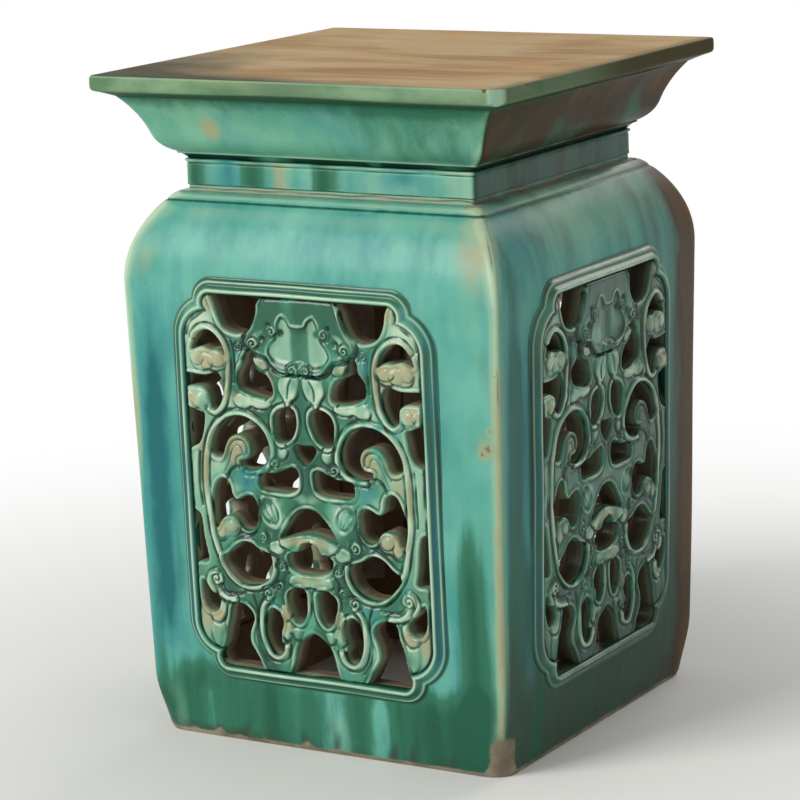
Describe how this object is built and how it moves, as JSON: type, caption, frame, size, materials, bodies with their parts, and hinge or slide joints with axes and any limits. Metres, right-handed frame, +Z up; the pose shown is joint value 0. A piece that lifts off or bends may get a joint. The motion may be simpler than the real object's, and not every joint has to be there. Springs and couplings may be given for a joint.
{
  "type": "ceramic garden stool",
  "caption": "Square glazed ceramic garden stool with a flared crown under a flat seat slab, rounded shoulders and an openwork scroll panel in a notched window on every side.",
  "frame": {"origin": "middle of the foot's underside, on the surface that the stool stands on", "axes": "+Z up to the seat; front window faces -Y, right window faces +X, and the four sides are alike"},
  "size_m": [0.3154, 0.3154, 0.46],
  "materials": {
    "body_glaze": "gloss, streaked turquoise over teal and green",
    "fretwork_glaze": "gloss, green pooled in the hollows and thin on the edges",
    "rim_glaze": "gloss, pale where thin on the beads",
    "neck_glaze": "gloss, dark vertical runs",
    "crown_glaze": "gloss, turquoise with pale edges",
    "seat_glaze": "satin, worn brown with a pale green edge",
    "bare_clay": "matt unglazed clay"
  },
  "bodies": {
    "root": {"wall_front": "body_glaze", "fretwork_front": "fretwork_glaze", "rim_front": "rim_glaze", "neck_front": "neck_glaze", "crown_front": "crown_glaze", "wall_right": "body_glaze", "fretwork_right": "fretwork_glaze", "rim_right": "rim_glaze", "neck_right": "neck_glaze", "crown_right": "crown_glaze", "wall_back": "body_glaze", "fretwork_back": "fretwork_glaze", "rim_back": "rim_glaze", "neck_back": "neck_glaze", "crown_back": "crown_glaze", "wall_left": "body_glaze", "fretwork_left": "fretwork_glaze", "rim_left": "rim_glaze", "neck_left": "neck_glaze", "crown_left": "crown_glaze", "corner_coil_front_right": "bare_clay", "corner_coil_back_right": "bare_clay", "corner_coil_back_left": "bare_clay", "corner_coil_front_left": "bare_clay", "shoulder_joint_coil": "bare_clay", "crown_joint_coil": "bare_clay", "seat_joint_coil": "bare_clay", "seat_slab": "seat_glaze"}
  },
  "joints": []
}
